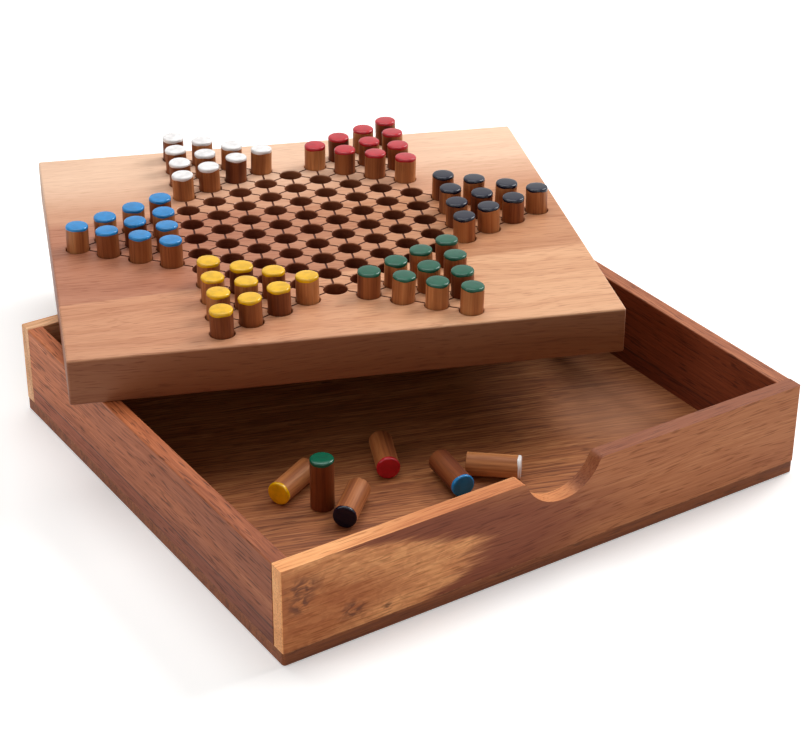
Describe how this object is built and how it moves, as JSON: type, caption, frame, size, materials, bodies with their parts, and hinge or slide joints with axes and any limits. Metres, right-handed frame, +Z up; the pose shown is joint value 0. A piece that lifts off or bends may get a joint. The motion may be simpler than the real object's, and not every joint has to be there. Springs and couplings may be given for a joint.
{
  "type": "chinese checkers set",
  "caption": "Wooden chinese checkers set: a shallow tray with a finger notch, a thick star board that doubles as its lid, and loose dowel pegs with painted tips.",
  "frame": {"origin": "centre of the tray's underside, on the table", "axes": "+Z up; X along the wall with the finger notch; -Y is the notched front of the tray"},
  "size_m": [0.2896, 0.3339, 0.0746],
  "materials": {
    "base_wood": "oiled dark brown hardwood, satin",
    "front_wall_wood": "oiled honey to reddish brown hardwood with knots, satin",
    "back_wall_wood": "oiled brown hardwood, satin",
    "side_wall_wood": "oiled reddish brown hardwood, satin",
    "board_wood": "oiled light pinkish tan hardwood slab, edge-glued, satin",
    "blue_tipped_dowel": "turned dowel, plain wood with one end dipped in blue gloss paint",
    "white_tipped_dowel": "turned dowel, plain wood with one end dipped in white gloss paint",
    "yellow_tipped_dowel": "turned dowel, plain wood with one end dipped in yellow gloss paint",
    "red_tipped_dowel": "turned dowel, plain wood with one end dipped in red gloss paint",
    "black_tipped_dowel": "turned dowel, plain wood with one end dipped in black gloss paint",
    "green_tipped_dowel": "turned dowel, plain wood with one end dipped in green gloss paint"
  },
  "bodies": {
    "tray": {"base_panel": "base_wood", "front_wall": "front_wall_wood", "back_wall": "back_wall_wood", "left_wall": "side_wall_wood", "right_wall": "side_wall_wood"},
    "board": {"peg_board": "board_wood"},
    "loose_green_peg": {"loose_green_peg": "green_tipped_dowel"},
    "loose_yellow_peg": {"loose_yellow_peg": "yellow_tipped_dowel"},
    "loose_black_peg": {"loose_black_peg": "black_tipped_dowel"},
    "loose_red_peg": {"loose_red_peg": "red_tipped_dowel"},
    "loose_blue_peg": {"loose_blue_peg": "blue_tipped_dowel"},
    "loose_white_peg": {"loose_white_peg": "white_tipped_dowel"},
    "blue_peg_1": {"blue_peg_1": "blue_tipped_dowel"},
    "blue_peg_2": {"blue_peg_2": "blue_tipped_dowel"},
    "blue_peg_3": {"blue_peg_3": "blue_tipped_dowel"},
    "blue_peg_4": {"blue_peg_4": "blue_tipped_dowel"},
    "blue_peg_5": {"blue_peg_5": "blue_tipped_dowel"},
    "blue_peg_6": {"blue_peg_6": "blue_tipped_dowel"},
    "blue_peg_pair_1": {"blue_peg_pair_1": "blue_tipped_dowel"},
    "blue_peg_pair_2": {"blue_peg_pair_2": "blue_tipped_dowel"},
    "white_peg_1": {"white_peg_1": "white_tipped_dowel"},
    "white_peg_2": {"white_peg_2": "white_tipped_dowel"},
    "white_peg_3": {"white_peg_3": "white_tipped_dowel"},
    "white_peg_4": {"white_peg_4": "white_tipped_dowel"},
    "white_peg_5": {"white_peg_5": "white_tipped_dowel"},
    "white_peg_6": {"white_peg_6": "white_tipped_dowel"},
    "white_peg_pair_1": {"white_peg_pair_1": "white_tipped_dowel"},
    "white_peg_pair_2": {"white_peg_pair_2": "white_tipped_dowel"},
    "yellow_peg_1": {"yellow_peg_1": "yellow_tipped_dowel"},
    "yellow_peg_2": {"yellow_peg_2": "yellow_tipped_dowel"},
    "yellow_peg_3": {"yellow_peg_3": "yellow_tipped_dowel"},
    "yellow_peg_4": {"yellow_peg_4": "yellow_tipped_dowel"},
    "yellow_peg_5": {"yellow_peg_5": "yellow_tipped_dowel"},
    "yellow_peg_6": {"yellow_peg_6": "yellow_tipped_dowel"},
    "yellow_peg_pair_1": {"yellow_peg_pair_1": "yellow_tipped_dowel"},
    "yellow_peg_pair_2": {"yellow_peg_pair_2": "yellow_tipped_dowel"},
    "red_peg_1": {"red_peg_1": "red_tipped_dowel"},
    "red_peg_2": {"red_peg_2": "red_tipped_dowel"},
    "red_peg_3": {"red_peg_3": "red_tipped_dowel"},
    "red_peg_4": {"red_peg_4": "red_tipped_dowel"},
    "red_peg_5": {"red_peg_5": "red_tipped_dowel"},
    "red_peg_6": {"red_peg_6": "red_tipped_dowel"},
    "red_peg_pair_1": {"red_peg_pair_1": "red_tipped_dowel"},
    "red_peg_pair_2": {"red_peg_pair_2": "red_tipped_dowel"},
    "black_peg_1": {"black_peg_1": "black_tipped_dowel"},
    "black_peg_2": {"black_peg_2": "black_tipped_dowel"},
    "black_peg_3": {"black_peg_3": "black_tipped_dowel"},
    "black_peg_4": {"black_peg_4": "black_tipped_dowel"},
    "black_peg_5": {"black_peg_5": "black_tipped_dowel"},
    "black_peg_6": {"black_peg_6": "black_tipped_dowel"},
    "black_peg_pair_1": {"black_peg_pair_1": "black_tipped_dowel"},
    "black_peg_pair_2": {"black_peg_pair_2": "black_tipped_dowel"},
    "green_peg_1": {"green_peg_1": "green_tipped_dowel"},
    "green_peg_2": {"green_peg_2": "green_tipped_dowel"},
    "green_peg_3": {"green_peg_3": "green_tipped_dowel"},
    "green_peg_4": {"green_peg_4": "green_tipped_dowel"},
    "green_peg_5": {"green_peg_5": "green_tipped_dowel"},
    "green_peg_6": {"green_peg_6": "green_tipped_dowel"},
    "green_peg_pair_1": {"green_peg_pair_1": "green_tipped_dowel"},
    "green_peg_pair_2": {"green_peg_pair_2": "green_tipped_dowel"}
  },
  "joints": [
    {"name": "board_lift", "type": "slide", "parent": "tray", "child": "board", "axis": [0, 0, 1], "range_m": [0, 0.06]},
    {"name": "loose_green_peg_lift", "type": "slide", "parent": "tray", "child": "loose_green_peg", "axis": [0, 0, 1], "range_m": [0, 0.045]},
    {"name": "loose_yellow_peg_lift", "type": "slide", "parent": "tray", "child": "loose_yellow_peg", "axis": [0, 0, 1], "range_m": [0, 0.045]},
    {"name": "loose_black_peg_lift", "type": "slide", "parent": "tray", "child": "loose_black_peg", "axis": [0, 0, 1], "range_m": [0, 0.045]},
    {"name": "loose_red_peg_lift", "type": "slide", "parent": "tray", "child": "loose_red_peg", "axis": [0, -0.4226, 0.9063], "range_m": [0, 0.045]},
    {"name": "loose_blue_peg_lift", "type": "slide", "parent": "tray", "child": "loose_blue_peg", "axis": [0, 0, 1], "range_m": [0, 0.045]},
    {"name": "loose_white_peg_lift", "type": "slide", "parent": "tray", "child": "loose_white_peg", "axis": [0, 0, 1], "range_m": [0, 0.045]},
    {"name": "blue_peg_1_lift", "type": "slide", "parent": "board", "child": "blue_peg_1", "axis": [0.0136, -0.0053, 0.9999], "range_m": [0, 0.0165]},
    {"name": "blue_peg_2_lift", "type": "slide", "parent": "board", "child": "blue_peg_2", "axis": [-0.0138, 0.0282, 0.9995], "range_m": [0, 0.0165]},
    {"name": "blue_peg_3_lift", "type": "slide", "parent": "board", "child": "blue_peg_3", "axis": [-0.0059, -0.0201, 0.9998], "range_m": [0, 0.0165]},
    {"name": "blue_peg_4_lift", "type": "slide", "parent": "board", "child": "blue_peg_4", "axis": [0.0323, 0.0195, 0.9993], "range_m": [0, 0.0165]},
    {"name": "blue_peg_5_lift", "type": "slide", "parent": "board", "child": "blue_peg_5", "axis": [-0.0269, 0.0054, 0.9996], "range_m": [0, 0.0165]},
    {"name": "blue_peg_6_lift", "type": "slide", "parent": "board", "child": "blue_peg_6", "axis": [0.01, -0.0138, 0.9999], "range_m": [0, 0.0165]},
    {"name": "blue_peg_pair_1_lift", "type": "slide", "parent": "board", "child": "blue_peg_pair_1", "axis": [0.0038, 0.0336, 0.9994], "range_m": [0, 0.0165]},
    {"name": "blue_peg_pair_2_lift", "type": "slide", "parent": "board", "child": "blue_peg_pair_2", "axis": [-0.0177, -0.0154, 0.9997], "range_m": [0, 0.0165]},
    {"name": "white_peg_1_lift", "type": "slide", "parent": "board", "child": "white_peg_1", "axis": [0.0012, -0.0194, 0.9998], "range_m": [0, 0.0165]},
    {"name": "white_peg_2_lift", "type": "slide", "parent": "board", "child": "white_peg_2", "axis": [0.0228, 0.0282, 0.9993], "range_m": [0, 0.0165]},
    {"name": "white_peg_3_lift", "type": "slide", "parent": "board", "child": "white_peg_3", "axis": [-0.0256, -0.0039, 0.9997], "range_m": [0, 0.0165]},
    {"name": "white_peg_4_lift", "type": "slide", "parent": "board", "child": "white_peg_4", "axis": [0.0129, -0.0087, 0.9999], "range_m": [0, 0.0165]},
    {"name": "white_peg_5_lift", "type": "slide", "parent": "board", "child": "white_peg_5", "axis": [-0.0076, 0.0314, 0.9995], "range_m": [0, 0.0165]},
    {"name": "white_peg_6_lift", "type": "slide", "parent": "board", "child": "white_peg_6", "axis": [-0.0106, -0.0192, 0.9998], "range_m": [0, 0.0165]},
    {"name": "white_peg_pair_1_lift", "type": "slide", "parent": "board", "child": "white_peg_pair_1", "axis": [0.0366, 0.0123, 0.9993], "range_m": [0, 0.0165]},
    {"name": "white_peg_pair_2_lift", "type": "slide", "parent": "board", "child": "white_peg_pair_2", "axis": [-0.0259, 0.0115, 0.9996], "range_m": [0, 0.0165]},
    {"name": "yellow_peg_1_lift", "type": "slide", "parent": "board", "child": "yellow_peg_1", "axis": [-0.0214, -0.0117, 0.9997], "range_m": [0, 0.0165]},
    {"name": "yellow_peg_2_lift", "type": "slide", "parent": "board", "child": "yellow_peg_2", "axis": [0.0399, -0.0099, 0.9992], "range_m": [0, 0.0165]},
    {"name": "yellow_peg_3_lift", "type": "slide", "parent": "board", "child": "yellow_peg_3", "axis": [-0.017, 0.0256, 0.9995], "range_m": [0, 0.0165]},
    {"name": "yellow_peg_4_lift", "type": "slide", "parent": "board", "child": "yellow_peg_4", "axis": [-0.0032, -0.0202, 0.9998], "range_m": [0, 0.0165]},
    {"name": "yellow_peg_5_lift", "type": "slide", "parent": "board", "child": "yellow_peg_5", "axis": [0.029, 0.0232, 0.9993], "range_m": [0, 0.0165]},
    {"name": "yellow_peg_6_lift", "type": "slide", "parent": "board", "child": "yellow_peg_6", "axis": [-0.0267, 0.0018, 0.9996], "range_m": [0, 0.0165]},
    {"name": "yellow_peg_pair_1_lift", "type": "slide", "parent": "board", "child": "yellow_peg_pair_1", "axis": [0.0113, -0.0119, 0.9999], "range_m": [0, 0.0165]},
    {"name": "yellow_peg_pair_2_lift", "type": "slide", "parent": "board", "child": "yellow_peg_pair_2", "axis": [-0.0006, 0.0332, 0.9994], "range_m": [0, 0.0165]},
    {"name": "red_peg_1_lift", "type": "slide", "parent": "board", "child": "red_peg_1", "axis": [-0.0235, 0.0174, 0.9996], "range_m": [0, 0.0165]},
    {"name": "red_peg_2_lift", "type": "slide", "parent": "board", "child": "red_peg_2", "axis": [0.0036, -0.0185, 0.9998], "range_m": [0, 0.0165]},
    {"name": "red_peg_3_lift", "type": "slide", "parent": "board", "child": "red_peg_3", "axis": [0.0186, 0.0304, 0.9994], "range_m": [0, 0.0165]},
    {"name": "red_peg_4_lift", "type": "slide", "parent": "board", "child": "red_peg_4", "axis": [-0.0243, -0.007, 0.9997], "range_m": [0, 0.0165]},
    {"name": "red_peg_5_lift", "type": "slide", "parent": "board", "child": "red_peg_5", "axis": [0.0134, -0.0066, 0.9999], "range_m": [0, 0.0165]},
    {"name": "red_peg_6_lift", "type": "slide", "parent": "board", "child": "red_peg_6", "axis": [-0.0114, 0.0296, 0.9995], "range_m": [0, 0.0165]},
    {"name": "red_peg_pair_1_lift", "type": "slide", "parent": "board", "child": "red_peg_pair_1", "axis": [-0.0078, -0.0199, 0.9998], "range_m": [0, 0.0165]},
    {"name": "red_peg_pair_2_lift", "type": "slide", "parent": "board", "child": "red_peg_pair_2", "axis": [0.0342, 0.0167, 0.9993], "range_m": [0, 0.0165]},
    {"name": "black_peg_1_lift", "type": "slide", "parent": "board", "child": "black_peg_1", "axis": [0.0067, 0.0334, 0.9994], "range_m": [0, 0.0165]},
    {"name": "black_peg_2_lift", "type": "slide", "parent": "board", "child": "black_peg_2", "axis": [-0.0192, -0.014, 0.9997], "range_m": [0, 0.0165]},
    {"name": "black_peg_3_lift", "type": "slide", "parent": "board", "child": "black_peg_3", "axis": [0.0403, -0.0045, 0.9992], "range_m": [0, 0.0165]},
    {"name": "black_peg_4_lift", "type": "slide", "parent": "board", "child": "black_peg_4", "axis": [-0.0198, 0.0227, 0.9995], "range_m": [0, 0.0165]},
    {"name": "black_peg_5_lift", "type": "slide", "parent": "board", "child": "black_peg_5", "axis": [-0.0005, -0.0198, 0.9998], "range_m": [0, 0.0165]},
    {"name": "black_peg_6_lift", "type": "slide", "parent": "board", "child": "black_peg_6", "axis": [0.0253, 0.0263, 0.9993], "range_m": [0, 0.0165]},
    {"name": "black_peg_pair_1_lift", "type": "slide", "parent": "board", "child": "black_peg_pair_1", "axis": [-0.0262, -0.0016, 0.9997], "range_m": [0, 0.0165]},
    {"name": "black_peg_pair_2_lift", "type": "slide", "parent": "board", "child": "black_peg_pair_2", "axis": [0.0123, -0.01, 0.9999], "range_m": [0, 0.0165]},
    {"name": "green_peg_1_lift", "type": "slide", "parent": "board", "child": "green_peg_1", "axis": [0.0379, 0.0092, 0.9992], "range_m": [0, 0.0165]},
    {"name": "green_peg_2_lift", "type": "slide", "parent": "board", "child": "green_peg_2", "axis": [-0.0251, 0.0138, 0.9996], "range_m": [0, 0.0165]},
    {"name": "green_peg_3_lift", "type": "slide", "parent": "board", "child": "green_peg_3", "axis": [0.0058, -0.0173, 0.9998], "range_m": [0, 0.0165]},
    {"name": "green_peg_4_lift", "type": "slide", "parent": "board", "child": "green_peg_4", "axis": [0.0142, 0.032, 0.9994], "range_m": [0, 0.0165]},
    {"name": "green_peg_5_lift", "type": "slide", "parent": "board", "child": "green_peg_5", "axis": [-0.0226, -0.0099, 0.9997], "range_m": [0, 0.0165]},
    {"name": "green_peg_6_lift", "type": "slide", "parent": "board", "child": "green_peg_6", "axis": [0.0392, -0.0134, 0.9991], "range_m": [0, 0.0165]},
    {"name": "green_peg_pair_1_lift", "type": "slide", "parent": "board", "child": "green_peg_pair_1", "axis": [-0.0149, 0.0273, 0.9995], "range_m": [0, 0.0165]},
    {"name": "green_peg_pair_2_lift", "type": "slide", "parent": "board", "child": "green_peg_pair_2", "axis": [-0.005, -0.0201, 0.9998], "range_m": [0, 0.0165]}
  ]
}
